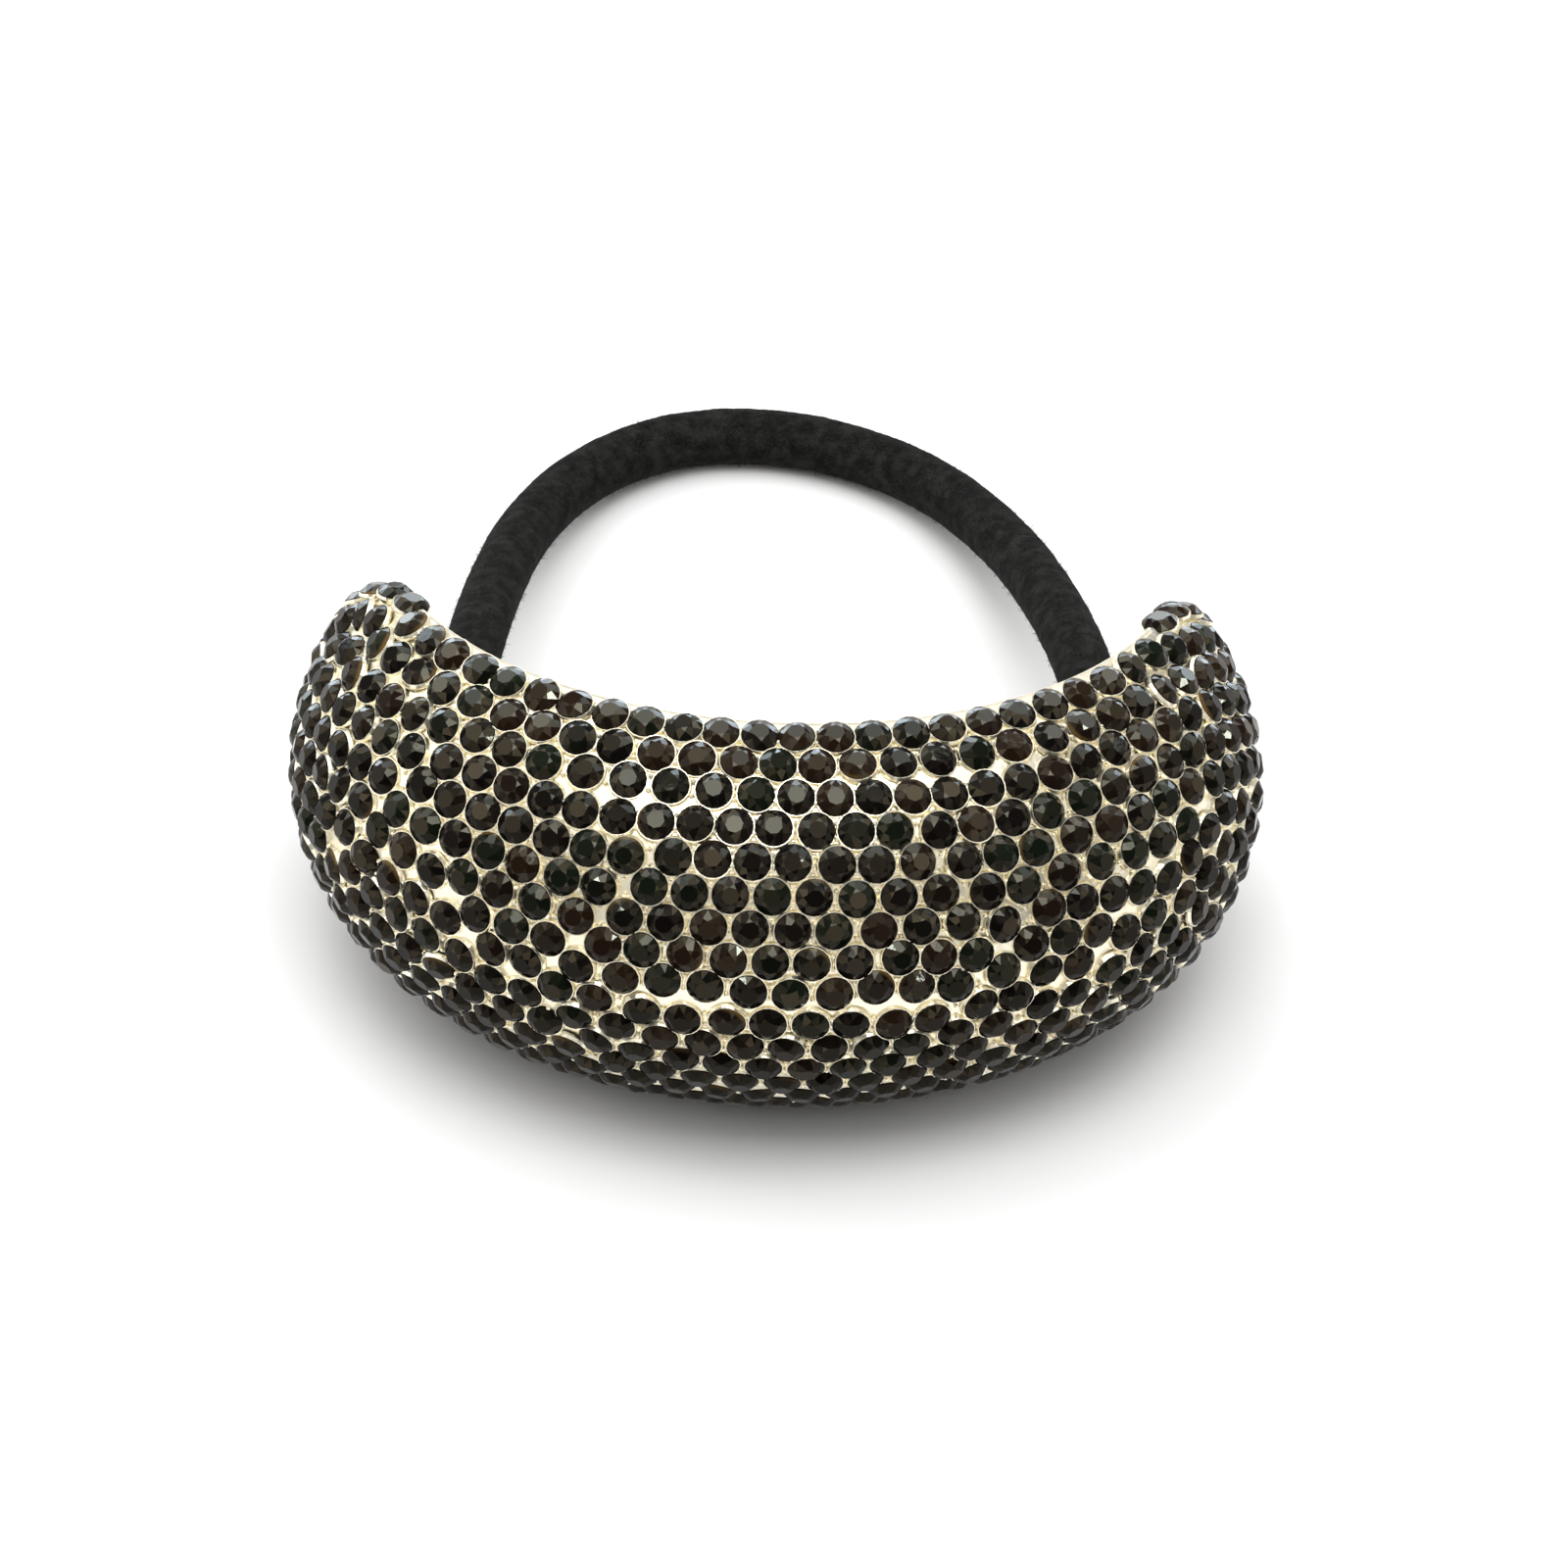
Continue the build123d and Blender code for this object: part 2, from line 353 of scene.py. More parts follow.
class Finish:
    """A node tree, of a material or of the world, that is written as expressions."""

    def __init__(self, owner):
        self.owner = owner
        owner.use_nodes = True
        self.tree = owner.node_tree
        self.tree.nodes.clear()

    def node(self, kind, settings=None, inputs=None, output=0):
        """Adds a node: its settings first, then the values or links of its sockets."""
        node = self.tree.nodes.new(kind)
        for key, value in (settings or {}).items():
            setattr(node, key, value)
        for key, value in (inputs or {}).items():
            if isinstance(value, Wire):
                self.tree.links.new(value.socket, node.inputs[key])
            else:
                node.inputs[key].default_value = value
        return Wire(self, node.outputs[output]) if node.outputs else None

    def blend(self, factor, first, second):
        """Colour between two colours."""
        first, second = ((*c, 1.0) if isinstance(c, tuple) else c for c in (first, second))
        inputs = {0: factor, 6: first, 7: second}
        return self.node("ShaderNodeMix", {"data_type": "RGBA"}, inputs, output=2)

    def place(self):
        """Where the shaded point is, in metres."""
        return self.node("ShaderNodeTexCoord", output="Object")

    def noise(self, scale, detail=3.0, roughness=0.55):
        """Soft noise from about 0 to 1, with a scale per metre."""
        inputs = {"Vector": self.place(), "Scale": scale, "Detail": detail, "Roughness": roughness}
        return self.node("ShaderNodeTexNoise", None, inputs)

    def bump(self, height, distance, strength=1.0):
        """Normal that a height gives."""
        inputs = {"Height": height, "Distance": distance, "Strength": strength}
        return self.node("ShaderNodeBump", None, inputs)

    def surface(self, inputs):
        """Ends a material in a principled shader, with what its sockets take."""
        shader = self.node("ShaderNodeBsdfPrincipled", None, inputs)
        self.node("ShaderNodeOutputMaterial", None, {"Surface": shader})
        return self.owner


def gold_finish(colours):
    """Cast metal with pale gold plating, stained and duller in random patches, which are also painted
    darker as shade.
    """
    finish = Finish(bpy.data.materials.new("gold_plating"))
    cloud = finish.noise(CLOUD_SCALE)
    grain = finish.noise(PORE_SCALE, detail=2.0)
    # Random patches: duller plating, painted darker as shade
    rough_and_shaded = (cloud * 0.6 + grain * 0.4).step(0.5, 0.72)
    return finish.surface({
        "Base Color": finish.blend(rough_and_shaded * 0.25, tuple(colours.gold), tuple(colours.gold_stain_and_shade)),
        "Metallic": 1.0,
        "Roughness": 0.3 + rough_and_shaded * 0.16,
        "Normal": finish.bump(cloud * 0.7 + grain * 0.3, 0.12 * MM),
    })


def stone_finish(colours):
    """Black cut glass: each stone has its own tint; some have a painted glow low on one side, and a
    few facets a painted glint.
    """
    finish = Finish(bpy.data.materials.new("black_glass"))
    mark = finish.node("ShaderNodeAttribute", {"attribute_name": "stone_tint_and_painted_glow"}, output="Color")
    tint = finish.node("ShaderNodeSeparateColor", None, {"Color": mark})
    # Red is each stone's own tint; Green picks the stones with a painted glow; Blue is how much of it
    # a point gets
    glow = tint.output("Green")
    low = tint.output("Blue")
    body = finish.blend(tint.step(0.55, 1.0), tuple(colours.stone), tuple(colours.stone_warm))
    body = finish.blend((1.0 - tint).step(0.6, 1.0), body, tuple(colours.stone_cool))
    # Painted glow, low on one side of the stones that Green picks
    body = finish.blend(glow.step(0.8, 0.9) * low.step(0.35, 0.75), body, tuple(colours.painted_glow))
    glint_pick = finish.node("ShaderNodeAttribute", {"attribute_name": "painted_glint_mark"}, output="Fac")
    # Painted glint on the few facets that draw the highest
    body = finish.blend(glint_pick ** 5.0, body, tuple(colours.painted_glint))
    haze = finish.noise(HAZE_SCALE)
    return finish.surface({
        "Base Color": body,
        "Roughness": 0.05 + haze.step(0.45, 0.8) * 0.07,
        "Specular IOR Level": 0.11,
        "Specular Tint": (1.0, 0.88, 0.64, 1.0),
        "Normal": finish.bump(haze, 0.02 * MM, 0.5),
    })


def elastic_finish(colours):
    """Black knitted yarn, paler in random patches: dust on its fuzz, and a painted sheen."""
    finish = Finish(bpy.data.materials.new("black_yarn"))
    patch = finish.noise(PATCH_SCALE, detail=4.0)
    fine = finish.noise(YARN_SCALE, detail=2.0)
    # Paler patches: dust, and a painted sheen of the fuzz
    dust_and_sheen = patch.step(0.35, 0.75) * 0.4 + fine.step(0.45, 0.8) * 0.4
    return finish.surface({
        "Base Color": finish.blend(dust_and_sheen, tuple(colours.elastic), tuple(colours.elastic_dust_and_sheen)),
        "Roughness": 0.8 + fine * 0.15,
        "Normal": finish.bump(fine, 0.05 * MM, 0.8),
        "Specular IOR Level": 0.08,
    })


def floor_finish(colours):
    """White board with the faintest mottling."""
    finish = Finish(bpy.data.materials.new("white_board"))
    cloud = finish.noise(BOARD_SCALE)
    pale = tuple(colours.floor)
    dim = tuple(0.985 * c for c in pale)
    return finish.surface({
        "Base Color": finish.blend(cloud, pale, dim),
        "Roughness": 0.6 + cloud * 0.1,
        "Specular IOR Level": 0.2,
    })


class Crescent:
    """The outer surface of the metal, level, and the stones' places on it."""

    def __init__(self, sizes, stones):
        self.sizes = sizes
        self.stones = stones
        tilt = Matrix.Rotation(sizes.rest_tilt, 4, "X")
        self.rest = Matrix.Translation((0, sizes.rest_back, sizes.rest_rise)) @ tilt
        self.tip_start, self.tip_height = self.tip_end()

    def surface(self, turns, rises):
        """Points of the surface, and its normals there, at pairs of angles."""
        wide, deep, radius = self.sizes.half_width, self.sizes.half_depth, self.sizes.tube_radius
        sine, cosine, none = np.sin(turns), np.cos(turns), np.zeros_like(turns)
        foot = np.stack([wide * sine, deep * (1 - cosine), none], 1)
        normal = np.stack([deep * sine, -wide * cosine, none], 1)
        normal /= np.linalg.norm(normal, axis=1, keepdims=True)
        radial = normal * np.cos(rises)[:, None]
        radial[:, 2] = np.sin(rises)
        return foot + (radial - normal) * radius, radial

    def rim_angle(self, turns):
        """Angle round the section from middle height to the rim."""
        sizes = self.sizes
        along = turns / sizes.wrap_angle
        return sizes.rim_angle * (1 - sizes.rim_fall * along**2 - sizes.rim_curl * along**8)

    def tip_end(self):
        """Depth where the rounded end of a tip starts, and the height of the rim there."""
        sizes = self.sizes
        start = sizes.half_depth * (1 - math.cos(sizes.wrap_angle)) - sizes.tip_length
        turns = np.arange(0, sizes.wrap_angle, FINE_STEP)
        rim, _ = self.surface(turns, self.rim_angle(turns))
        turn = np.interp(start, rim[:, 1], turns)
        half_wall = sizes.wall / 2
        height = (sizes.tube_radius - half_wall) * math.sin(self.rim_angle(turn)) + half_wall
        return start, height

    def row_rise(self, row, side, turns):
        """Angle round the section of a row counted from the upper (1) or lower (-1) rim."""
        inset = self.stones.rim_margin + row * self.stones.row_pitch
        return side * (self.rim_angle(turns) - inset / self.sizes.tube_radius)

    def off_seam(self, rises, side):
        """Which rises are on their own side of the seam between the two rims' rows."""
        least = self.stones.row_pitch / 2 / self.sizes.tube_radius
        return side * (rises - self.stones.seam_rise) >= least

    def inside(self, turns, rises):
        """Which places are clear of the rims and of the rounded tip."""
        stones = self.stones
        middles, _ = self.surface(turns, rises)
        room = self.sizes.tip_length - stones.tip_margin
        past = np.maximum(0, middles[:, 1] - self.tip_start) / room
        across = middles[:, 2] / (self.tip_height - stones.tip_margin * np.cos(rises))
        most = self.rim_angle(turns) - RIM_SLACK * stones.rim_margin / self.sizes.tube_radius
        return (abs(rises) < most) & ((past == 0) | (past**2 + across**2 < 1))

    def row(self, row, side):
        """Angles of the stones of a row; every other row is shifted by half a pitch."""
        pitch = self.stones.pitch
        turns = np.arange(0, self.sizes.wrap_angle, FINE_STEP)
        line, _ = self.surface(turns, self.row_rise(row, side, turns))
        runs = np.r_[0, np.cumsum(np.linalg.norm(np.diff(line, axis=0), axis=1))]
        half = np.interp(np.arange(pitch / 2 * (row % 2), runs[-1], pitch), runs, turns)
        turns = np.r_[-half[::-1], half[half > 0]]
        rises = self.row_rise(row, side, turns)
        fits = self.off_seam(rises, side) & self.inside(turns, rises)
        return np.stack([turns[fits], rises[fits]], 1)

    def rows(self):
        """All rows of places, from both rims to the seam."""
        sizes = self.sizes
        row_count = int(2 * sizes.rim_angle * sizes.tube_radius / self.stones.row_pitch)
        lines = [self.row(row, side) for side in (1, -1) for row in range(row_count)]
        return [line for line in lines if len(line)]

    def odd_places(self, places, fixed):
        """Places of the odd stones that close the gaps that the rows leave."""
        taken = np.vstack([self.surface(*places.T)[0], fixed])
        rises = np.arange(-self.sizes.rim_angle, self.sizes.rim_angle, 3 * ODD_STEP)
        found = []
        for turn in np.arange(0, self.sizes.wrap_angle, ODD_STEP):
            for side in (1, -1):
                turns = np.full_like(rises, turn * side)
                middles, _ = self.surface(turns, rises)
                gaps = np.linalg.norm(middles[:, None] - taken[None], axis=2).min(1)
                gaps *= self.inside(turns, rises)
                best = int(gaps.argmax())
                if gaps[best] > self.stones.odd_gap:
                    taken = np.vstack([taken, middles[best]])
                    found.append((turns[best], rises[best]))
        return np.reshape(found, (-1, 2))

    def tip_curve(self, climbs, inset):
        """Points and normals along a tip's rounded edge, from its end (0) up to the rim."""
        sizes = self.sizes
        depth = self.tip_start + (sizes.tip_length - inset) * np.cos(climbs)
        rises = np.arcsin((self.tip_height - inset) * np.sin(climbs) / sizes.tube_radius)
        low, high = np.zeros_like(climbs), np.full_like(climbs, sizes.wrap_angle * 1.1)
        for _ in range(HALVINGS):
            middle = (low + high) / 2
            short = self.surface(middle, rises)[0][:, 1] < depth
            low, high = np.where(short, middle, low), np.where(short, high, middle)
        return self.surface(low, rises)

    def tip_seats(self):
        """Matrices of the stones that roll over the edge of both tips, made on z = 0."""
        stones, wall = self.stones, self.sizes.wall
        climbs = np.arange(-math.pi / 2, math.pi / 2, FINE_STEP)
        edge, ups = self.tip_curve(climbs, wall / 2)
        inner, _ = self.tip_curve(climbs, wall)
        runs = np.r_[0, np.cumsum(np.linalg.norm(np.diff(edge, axis=0), axis=1))]
        first = runs[-1] / 2 % stones.pitch
        seats = []
        for run in np.arange(first, runs[-1], stones.pitch):
            k = int(np.searchsorted(runs, run))
            up, out = Vector(ups[k]), Vector(edge[k] - inner[k])
            out = (out - up * out.dot(up)).normalized()
            lean = up * math.cos(stones.tip_lean) + out * math.sin(stones.tip_lean)
            middle = Vector(edge[k]) + (lean - up) * wall / 2
            for side in (1, -1):
                flip = Vector((side, 1, 1))
                seats.append(self.frame_at(middle * flip, lean * flip))
        return seats

    def settled(self, places, fixed):
        """The places after stones that crowd each other, or fixed ones, are eased apart."""
        turns, rises = places.T.copy()
        here, _ = self.surface(turns, rises)
        gaps = np.linalg.norm(here[:, None] - np.vstack([here, fixed])[None], axis=2)
        first, second = np.nonzero((gaps > 0) & (gaps < 2 * self.stones.diameter))
        for _ in range(EASING_ROUNDS):
            ease = self.stones.ease * (FRONT_EASE + (turns / self.sizes.wrap_angle) ** 2)
            least = self.stones.diameter + self.stones.clearance + ease[first]
            apart = here[first] - np.vstack([here, fixed])[second]
            gaps = np.maximum(np.linalg.norm(apart, axis=1), LEAST_GAP)
            push = np.maximum(least - gaps, 0) / 2 / gaps
            move = np.zeros_like(here)
            np.add.at(move, first, apart * push[:, None])
            by_turn = (self.surface(turns + FINE_STEP, rises)[0] - here) / FINE_STEP
            by_rise = (self.surface(turns, rises + FINE_STEP)[0] - here) / FINE_STEP
            turns += (move * by_turn).sum(1) / (by_turn**2).sum(1)
            rises += (move * by_rise).sum(1) / (by_rise**2).sum(1)
            most = self.rim_angle(turns) - RIM_PRESS * self.stones.rim_margin / self.sizes.tube_radius
            rises = np.clip(rises, -most, most)
            here, _ = self.surface(turns, rises)
        return np.stack([turns, rises], 1)

    def parted(self, places):
        """The places, with those beside the seam pressed together in front and apart past that."""
        stones = self.stones
        turns, rises = places.T
        across = (rises - stones.seam_rise) * self.sizes.tube_radius / stones.seam_reach
        along = turns / stones.seam_turn
        shift = -np.cos(math.pi * along) * np.exp(-0.5 * along**2)
        shift = np.where(shift < 0, SEAM_PRESS * shift, shift) * np.exp(-(across**2))
        shift *= stones.seam_shift * np.tanh(SEAM_EDGE * across)
        return np.stack([turns, rises + shift / self.sizes.tube_radius], 1)

    def unrest(self, places):
        """How much more freely than at the front each stone sits, a column for both angles."""
        return (1 + TIP_UNREST * (places[:, 0] / self.sizes.wrap_angle) ** 2)[:, None]

    def frame_at(self, middle, up):
        """Matrix, at rest, of a stone that stands level at a point with its table this way up."""
        along = Vector((-up.y, up.x, 0)).normalized()
        turned = Matrix((along, up.cross(along), up)).transposed().to_4x4()
        return self.rest @ Matrix.Translation(middle) @ turned


class Mesher:
    """Collects copies of simple shapes into the points and faces of one mesh."""

    def __init__(self):
        self.points = []
        self.faces = []
        self.marks = []

    def add(self, points, faces, marks=None):
        """Adds one shape; its marks, if any, are one colour a point."""
        first = len(self.points)
        self.points += points
        self.faces += [tuple(first + i for i in face) for face in faces]
        self.marks += marks or []

    def copy(self, shape, matrix, marks=None):
        """Adds a shape, given as its points and faces, carried by a matrix."""
        points, faces = shape
        self.add([matrix @ point for point in points], faces, marks)

    def piece(self, name, material, smooth, slot):
        """Makes the object, which rides on the cuff, with its finish in its one material slot. The
        slot argument is not used.
        """
        mesh = bpy.data.meshes.new(name)
        mesh.from_pydata(self.points, [], self.faces)
        if self.marks:
            # Each stone's tint, and where its painted glow goes
            layer = mesh.color_attributes.new("stone_tint_and_painted_glow", "FLOAT_COLOR", "POINT")
            layer.data.foreach_set("color", np.array(self.marks, np.float32).ravel())
        mesh.polygons.foreach_set("use_smooth", [smooth] * len(mesh.polygons))
        mesh.materials.append(material)
        mesh.validate()
        made = bpy.data.objects.new(name, mesh)
        bpy.context.scene.collection.objects.link(made)
        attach(made, BODY)
        return made


def ring_points(radius, height, sides, shift=0.0):
    """Points of a level ring, shifted by a share of one side."""
    turns = [2 * math.pi * (i + shift) / sides for i in range(sides)]
    return [Vector((radius * math.cos(a), radius * math.sin(a), height)) for a in turns]


def band(a, b, sides):
    """Faces between two rings, given the numbers of their first points."""
    return [(a + i, a + (i + 1) % sides, b + (i + 1) % sides, b + i) for i in range(sides)]


def skin(rings, closed):
    """Shape through rings of points: the last joins the first, or both ends are capped."""
    sides = len(rings[0])
    points = [point for ring in rings for point in ring]
    faces = []
    for k in range(len(rings) - (not closed)):
        faces += band(k * sides, (k + 1) % len(rings) * sides, sides)
    if not closed:
        faces.append(tuple(range(sides - 1, -1, -1)))
        faces.append(tuple(range(len(points) - sides, len(points))))
    return points, faces


def lathe(profile, sides, closed):
    """Shape turned from a profile of (radius, height): a closed loop, or open with two caps."""
    return skin([ring_points(radius, height, sides) for radius, height in profile], closed)


def cut_stone(stones):
    """Brilliant-cut stone: girdle, upper girdle facets, kites, stars and table."""
    main = stones.facets
    fine = 2 * main
    radius, table, star = stones.diameter / 2, stones.table / 2, stones.star / 2
    top = stones.girdle + stones.crown
    # The kites are flat, so the star corners lie on a line from the table to the girdle
    down = (star * math.cos(math.pi / main) - table) / (radius - table)
    points = ring_points(radius * STONE_FOOT, 0, fine)
    points += ring_points(radius, stones.girdle * STONE_BEVEL, fine)
    points += ring_points(radius, stones.girdle, fine)
    points += ring_points(star, top - down * stones.crown, main, 0.5)
    points += ring_points(table, top, main)
    faces = [tuple(range(fine - 1, -1, -1))]
    faces += band(0, fine, fine)
    faces += band(fine, 2 * fine, fine)
    edge, corner, flat = 2 * fine, 3 * fine, 3 * fine + main
    for i in range(main):
        after, before = (i + 1) % main, (i - 1) % main
        faces.append((edge + 2 * i, edge + 2 * i + 1, corner + i))
        faces.append((edge + 2 * i + 1, edge + 2 * after, corner + i))
        faces.append((edge + 2 * i, corner + i, flat + i, corner + before))
        faces.append((corner + i, flat + after, flat + i))
    faces.append(tuple(range(flat, flat + main)))
    return points, faces


class CUFF_OT_stage(bpy.types.Operator):
    """Lay the floor, light it softly and aim the camera"""

    bl_idname = "cuff.stage"
    bl_label = "Set the stage"

    def execute(self, context):
        stage, colours = context.scene.cuff_stage, context.scene.cuff_finishes
        half = stage.floor_size / 2
        mesh = bpy.data.meshes.new("floor")
        corners = [(-half, -half, 0), (half, -half, 0), (half, half, 0), (-half, half, 0)]
        mesh.from_pydata(corners, [], [(0, 1, 2, 3)])
        mesh.materials.append(floor_finish(colours))
        floor = bpy.data.objects.new("floor", mesh)
        context.scene.collection.objects.link(floor)
        self.light(context, stage)
        self.camera(context, stage)
        context.scene.view_settings.view_transform = "Standard"
        return {"FINISHED"}

    def light(self, context, stage):
        """Pale surround with a dark side, a top and a fill light, and lamps for one finish alone."""
        world = bpy.data.worlds.new("studio")
        context.scene.world = world
        sky = Finish(world)
        way = sky.node("ShaderNodeTexCoord", output="Generated")
        across = sky.node("ShaderNodeSeparateXYZ", None, {"Vector": way})
        back = across.output("Y")
        up = across.output("Z")
        pale = back.step(*DARK_SIDE) * (up.step(*CEILING) * stage.ceiling + stage.surround)
        inputs = {"Vector": way, "Scale": WALL_SCALE, "Detail": 1.0}
        patches = sky.node("ShaderNodeTexNoise", None, inputs)
        strength = (pale + stage.shade) * (patches.step(*WALL_PATCH) * WALL_GAIN + WALL_BASE)
        strength = strength * (1.0 - across * stage.near_wall)
        glow = sky.node("ShaderNodeBackground", None, {"Strength": strength})
        sky.node("ShaderNodeOutputWorld", None, {"Surface": glow})
        above = Matrix.Translation((0, -stage.top_front, stage.top_height))
        nearer = Matrix.Translation((0, 0, -LAMP_GAP))
        behind = self.swung(-stage.back_turn, stage.top_height)
        low = self.swung(stage.rear_climb - math.pi / 2, stage.fill_height)
        ahead = self.swung(math.pi / 2 - stage.metal_climb, stage.fill_height)
        higher = Matrix.Translation((0, -stage.fill_front, stage.fill_height))
        size = (stage.top_width, stage.top_depth)
        wide = (stage.fill_size, stage.fill_size)
        self.lamp("top_light", stage.top_power, *size, above)
        self.lamp("fill_light", stage.fill_power, *wide, higher).visible_glossy = False
        stone_lights = [
            self.lamp("gem_light", stage.gem_power, *size, above @ nearer),
            self.lamp("back_light", stage.back_power, stage.rear_width, stage.top_depth, behind),
            self.lamp("rear_light", stage.rear_power, stage.rear_width, stage.rear_depth, low),
        ]
        spark = (stage.spark_size, stage.spark_size)
        for side in (-1, 1):
            turned = Matrix.Rotation(side * stage.spark_turn, 4, "Y")
            stone_lights.append(self.lamp("spark_light", stage.spark_power, *spark, turned @ above))
        metal_light = self.lamp("metal_light", stage.metal_power, *wide, ahead)
        stones_lit = bpy.data.collections.new("lit_stones")
        metal_lit = bpy.data.collections.new("lit_metal")
        for lamp in stone_lights:
            lamp.light_linking.receiver_collection = stones_lit
            lamp.data.color = stage.stone_tone
        metal_light.light_linking.receiver_collection = metal_lit

    def swung(self, turn, distance):
        """Place of a lamp that is swung from right overhead about the X axis."""
        return Matrix.Rotation(turn, 4, "X") @ Matrix.Translation((0, 0, distance))

    def lamp(self, name, power, width, depth, place):
        """Adds an oblong lamp."""
        lamp = bpy.data.lights.new(name, "AREA")
        lamp.shape = "RECTANGLE"
        lamp.energy, lamp.size, lamp.size_y = power, width, depth
        holder = bpy.data.objects.new(name, lamp)
        holder.matrix_world = place
        bpy.context.scene.collection.objects.link(holder)
        return holder

    def camera(self, context, stage):
        """Adds the camera, aimed at a point on the table."""
        lens = bpy.data.cameras.new("camera")
        lens.lens = stage.lens
        lens.clip_start, lens.clip_end = CLIP_START, CLIP_END
        camera = bpy.data.objects.new("camera", lens)
        aim = Matrix.Translation((stage.aim_across, stage.aim_back, 0))
        swing = Matrix.Rotation(stage.azimuth, 4, "Z")
        climb = Matrix.Rotation(math.pi / 2 - stage.elevation, 4, "X")
        back = Matrix.Translation((0, 0, stage.distance))
        camera.matrix_world = aim @ swing @ climb @ back @ Matrix.Rotation(stage.roll, 4, "Z")
        context.scene.collection.objects.link(camera)
        context.scene.camera = camera


class CUFF_OT_elastic(bpy.types.Operator):
    """Lay the covered elastic from socket to socket, with its loose fibres"""

    bl_idname = "cuff.elastic"
    bl_label = "Lay the elastic"

    def execute(self, context):
        sizes, colours = context.scene.cuff_elastic, context.scene.cuff_finishes
        finish = elastic_finish(colours)
        path = self.path()
        rings, centres = self.rings(sizes, path)
        cover = Mesher()
        cover.add(*skin(rings, closed=False))
        piece = cover.piece("elastic_cover", finish, True, "elastic_fabric")
        fibres = self.fibres(sizes, rings, centres)
        fuzz = fibres.piece("elastic_fibres", finish, True, "elastic_fabric")
        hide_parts("elastic_cord")
        steps = [(b - a).length for a, b in zip(centres, centres[1:])]
        return {"FINISHED"}

    def path(self):
        """Points of the route's smooth curve."""
        curve = bpy.data.curves.new("elastic_route", "CURVE")
        curve.dimensions = "3D"
        spline = curve.splines.new("NURBS")
        spline.points.add(len(ELASTIC_ROUTE_MM) - 1)
        for point, place in zip(spline.points, ELASTIC_ROUTE_MM):
            point.co = (*(value * MM for value in place), 1.0)
        spline.order_u = 3
        spline.use_endpoint_u = True
        spline.resolution_u = 40
        holder = bpy.data.objects.new("elastic_route", curve)
        bpy.context.scene.collection.objects.link(holder)
        mesh = bpy.data.meshes.new_from_object(holder)
        points = np.array([vertex.co for vertex in mesh.vertices])
        bpy.data.objects.remove(holder)
        bpy.data.meshes.remove(mesh)
        return points

    def rings(self, sizes, path):
        """Rings of the knitted cover along the path, evenly spaced, and their middles."""
        sides = STITCH_POINTS * sizes.wales
        runs = np.r_[0, np.cumsum(np.linalg.norm(np.diff(path, axis=0), axis=1))]
        steps = int(runs[-1] / (sizes.stitch / STITCH_POINTS))
        marks = np.linspace(0, runs[-1], steps)
        middles = [Vector(place) for place in zip(*(np.interp(marks, runs, axis) for axis in path.T))]
        rings = []
        across = Vector((0, 0, 1))
        for k, middle in enumerate(middles):
            ahead = (middles[min(k + 1, steps - 1)] - middles[max(k - 1, 0)]).normalized()
            across = (across - ahead * across.dot(ahead)).normalized()
            aside = ahead.cross(across)
            ring = []
            for i in range(sides):
                turn = 2 * math.pi * i / sides
                out = across * math.cos(turn) + aside * math.sin(turn)
                column = math.cos(turn * sizes.wales)
                phase = marks[k] / sizes.stitch + column / 2
                wave = (column + math.cos(2 * math.pi * phase)) / 2
                spot = middle + out * sizes.diameter / 2
                lump = noise.noise(spot * LUMP_SCALE) + KNOB_SHARE * noise.noise(spot * KNOB_SCALE)
                radius = sizes.diameter / 2 + wave * sizes.relief / 2 + lump * sizes.lump
                ring.append(middle + out * radius)
            rings.append(ring)
        return rings, middles

    def fibres(self, sizes, rings, centres):
        """Short loose fibres, each a thin bent spike."""
        draw = random.Random(FIBRE_SEED)
        fibres = Mesher()
        faces = [(0, 1, 4, 3), (1, 2, 5, 4), (2, 0, 3, 5), (3, 4, 6), (4, 5, 6), (5, 3, 6), (2, 1, 0)]
        for _ in range(sizes.fibre_count):
            k = draw.randrange(len(rings) - 1)
            i = draw.randrange(len(rings[k]))
            root = rings[k][i]
            out = (root - centres[k]).normalized()
            along = (centres[k + 1] - centres[k]).normalized()
            side = out.cross(along)
            lean = along * draw.uniform(-FIBRE_LEAN, FIBRE_LEAN)
            lean += side * draw.uniform(-FIBRE_LEAN, FIBRE_LEAN)
            span = sizes.fibre * draw.uniform(0.25, 1.0) ** 1.5
            middle = root + (out * 0.8 + lean * 0.5).normalized() * span * 0.55
            tip = middle + (out * 0.35 + lean).normalized() * span * 0.45
            if min(middle.z, tip.z) < FLOOR_GAP:
                continue
            corners = [along, side - along * 0.5, -side - along * 0.5]
            corners = [corner * FIBRE_RADIUS for corner in corners]
            points = [root - out * FIBRE_RADIUS * 2 + corner for corner in corners]
            points += [middle + corner * 0.8 for corner in corners]
            fibres.add([*points, tip], faces)
        return fibres


class CUFF_OT_metal(bpy.types.Operator):
    """Plate the metal crescent with pale gold"""

    bl_idname = "cuff.metal"
    bl_label = "Plate the metal"

    def execute(self, context):
        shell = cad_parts["cuff_shell"]
        finish = gold_finish(context.scene.cuff_finishes)
        shell.data.materials.clear()
        shell.data.materials.append(finish)
        bpy.data.collections["lit_metal"].objects.link(shell)
        return {"FINISHED"}


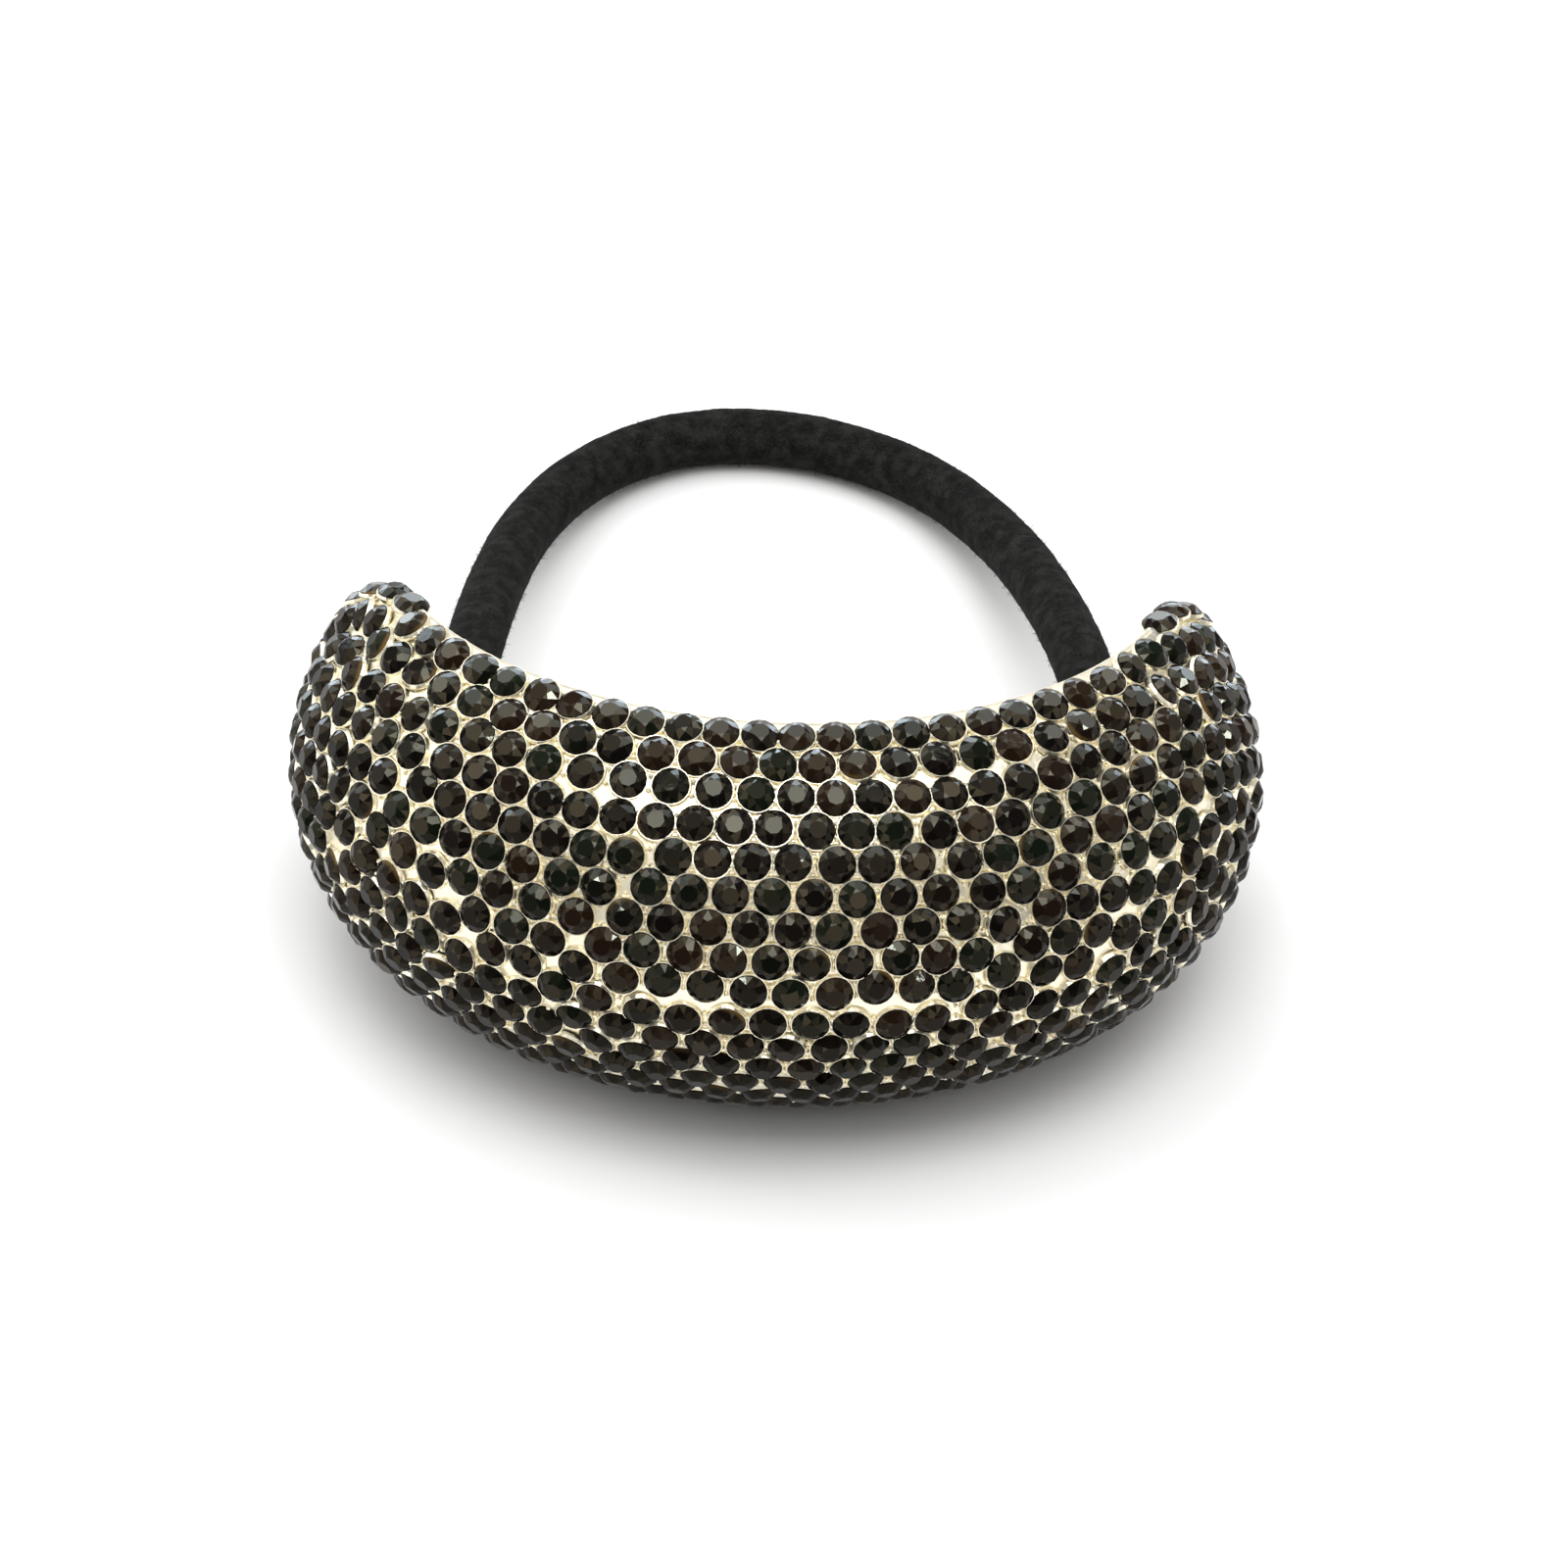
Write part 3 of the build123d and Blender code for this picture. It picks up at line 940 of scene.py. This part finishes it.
def placed_stones(context):
    """Matrices of the stones at rest: rows of them, and apart those over the tips' edges."""
    stones = context.scene.cuff_stones
    crescent = Crescent(context.scene.cuff_crescent, stones)
    draw = np.random.default_rng(STONE_SEED)
    edges = crescent.tip_seats()
    level = crescent.rest.inverted()
    fixed = np.array([(level @ seat).translation for seat in edges])
    rows = crescent.rows()
    places = np.vstack(rows)
    stray = draw.normal(0, SPREAD, places.shape) * stones.stray * crescent.unrest(places)
    places += stray / np.array([crescent.sizes.half_width, crescent.sizes.tube_radius])
    for _ in range(ODD_ROUNDS):
        places = crescent.settled(places, fixed)
        places = np.vstack([places, crescent.odd_places(places, fixed)])
    places = crescent.parted(crescent.settled(places, fixed))
    leans = draw.normal(0, SPREAD, places.shape) * stones.lean * crescent.unrest(places)
    seats = []
    for middle, up, (first, second) in zip(*crescent.surface(*places.T), leans):
        lean = Matrix.Rotation(first, 4, "X") @ Matrix.Rotation(second, 4, "Y")
        seats.append(crescent.frame_at(Vector(middle), Vector(up)) @ lean)
    ends = np.cumsum([len(row) for row in rows])
    lines = [seats[end - len(row):end] for row, end in zip(rows, ends)]
    return lines + [[seat] for seat in seats[ends[-1]:]], edges


class CUFF_OT_seats(bpy.types.Operator):
    """Raise a ring round each stone, and grains between neighbours"""

    bl_idname = "cuff.seats"
    bl_label = "Raise the seats"

    def execute(self, context):
        seats = context.scene.cuff_seats
        half = seats.crest_width / 2
        profile = (
            (seats.foot_radius, -seats.sink),
            (seats.foot_radius, 0),
            (seats.crest_radius + half, seats.height),
            (seats.crest_radius - half, seats.height),
            (seats.crest_radius - half, -seats.sink),
        )
        ring = lathe(profile, RING_SIDES, closed=True)
        rounds = [(seats.grain * radius, seats.grain * height) for radius, height in GRAIN_PROFILE]
        grain = lathe(rounds, GRAIN_SIDES, closed=False)
        rim = seats.crest_radius + half
        profile = ((seats.cup_radius, -seats.cup_depth), (rim, 0), (rim, seats.height))
        cup = lathe(profile, RING_SIDES, closed=False)
        metal = Mesher()
        rows, edges = placed_stones(context)
        for place in edges:
            metal.copy(cup, place)
        for row in rows:
            for place in row:
                metal.copy(ring, place)
            for place, after in zip(row, row[1:]):
                self.grains(metal, grain, place, after, seats, context.scene.cuff_stones.pitch)
        finish = bpy.data.materials["gold_plating"]
        piece = metal.piece("stone_seats", finish, False, "gold_metal")
        bpy.data.collections["lit_metal"].objects.link(piece)
        return {"FINISHED"}

    def grains(self, metal, grain, place, after, seats, pitch):
        """Two grains between neighbours of a row, where the two stand side by side."""
        here, there = place.translation, after.translation
        if (there - here).length > GRAIN_REACH * pitch:
            return
        up = (place.col[2].xyz + after.col[2].xyz).normalized()
        aside = up.cross(there - here).normalized()
        for side in (-1, 1):
            spot = (here + there) / 2 + aside * side * seats.grain_spread + up * seats.grain_rise
            metal.copy(grain, Matrix.Translation(spot))


class CUFF_OT_stones(bpy.types.Operator):
    """Set the whole field of cut stones"""

    bl_idname = "cuff.stones"
    bl_label = "Set the stones"

    def execute(self, context):
        stones = context.scene.cuff_stones
        shape = cut_stone(stones)
        top = stones.girdle + stones.crown
        # Share of the painted glow at each point: most at the bottom, on one side of the stone
        sides = [(1 - point.z / top) * (0.5 - point.y / stones.diameter) for point in shape[0]]
        draw = random.Random(TINT_SEED)
        field = Mesher()
        rows, edges = placed_stones(context)
        for row in [*rows, edges]:
            for place in row:
                turned = Matrix.Rotation(draw.uniform(-math.pi, math.pi), 4, "Z")
                # The stone's own tint, and the draw that picks it for a painted glow
                tint, glow = draw.random(), draw.random()
                marks = [(tint, glow, side, 1.0) for side in sides]
                field.copy(shape, place @ Matrix.Translation((0, 0, stones.lift)) @ turned, marks)
        finish = stone_finish(context.scene.cuff_finishes)
        piece = field.piece("cut_stones", finish, False, "black_stone")
        # One draw per face: the highest get a painted glint
        layer = piece.data.attributes.new("painted_glint_mark", "FLOAT", "FACE")
        layer.data.foreach_set("value", [draw.random() for _ in piece.data.polygons])
        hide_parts("stones")
        bpy.data.collections["lit_stones"].objects.link(piece)
        return {"FINISHED"}


GROUPS = {
    "cuff_crescent": CrescentSizes,
    "cuff_stones": StoneSizes,
    "cuff_seats": SeatSizes,
    "cuff_elastic": ElasticSizes,
    "cuff_finishes": Finishes,
    "cuff_stage": StageSettings,
}
OPERATORS = (CUFF_OT_stage, CUFF_OT_elastic, CUFF_OT_metal, CUFF_OT_seats, CUFF_OT_stones)


class CUFF_PT_dressing(bpy.types.Panel):
    """Sizes, colours and steps of the hair cuff"""

    bl_idname = "CUFF_PT_dressing"
    bl_label = "Hair cuff"
    bl_space_type = "VIEW_3D"
    bl_region_type = "UI"
    bl_category = "Hair cuff"

    def draw(self, context):
        for name in GROUPS:
            box = self.layout.box()
            for key in GROUPS[name].__annotations__:
                box.prop(getattr(context.scene, name), key)
        for operator in OPERATORS:
            self.layout.operator(operator.bl_idname)


def register():
    for group in GROUPS.values():
        bpy.utils.register_class(group)
    for name, group in GROUPS.items():
        setattr(bpy.types.Scene, name, bpy.props.PointerProperty(type=group))
    for operator in OPERATORS:
        bpy.utils.register_class(operator)
    bpy.utils.register_class(CUFF_PT_dressing)


def unregister():
    bpy.utils.unregister_class(CUFF_PT_dressing)
    for operator in reversed(OPERATORS):
        bpy.utils.unregister_class(operator)
    for name, group in GROUPS.items():
        delattr(bpy.types.Scene, name)
        bpy.utils.unregister_class(group)


def main():
    register()
    bpy.ops.cuff.stage()
    bpy.ops.cuff.elastic()
    bpy.ops.cuff.metal()
    bpy.ops.cuff.seats()
    bpy.ops.cuff.stones()
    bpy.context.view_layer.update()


if __name__ == "__main__":
    main()
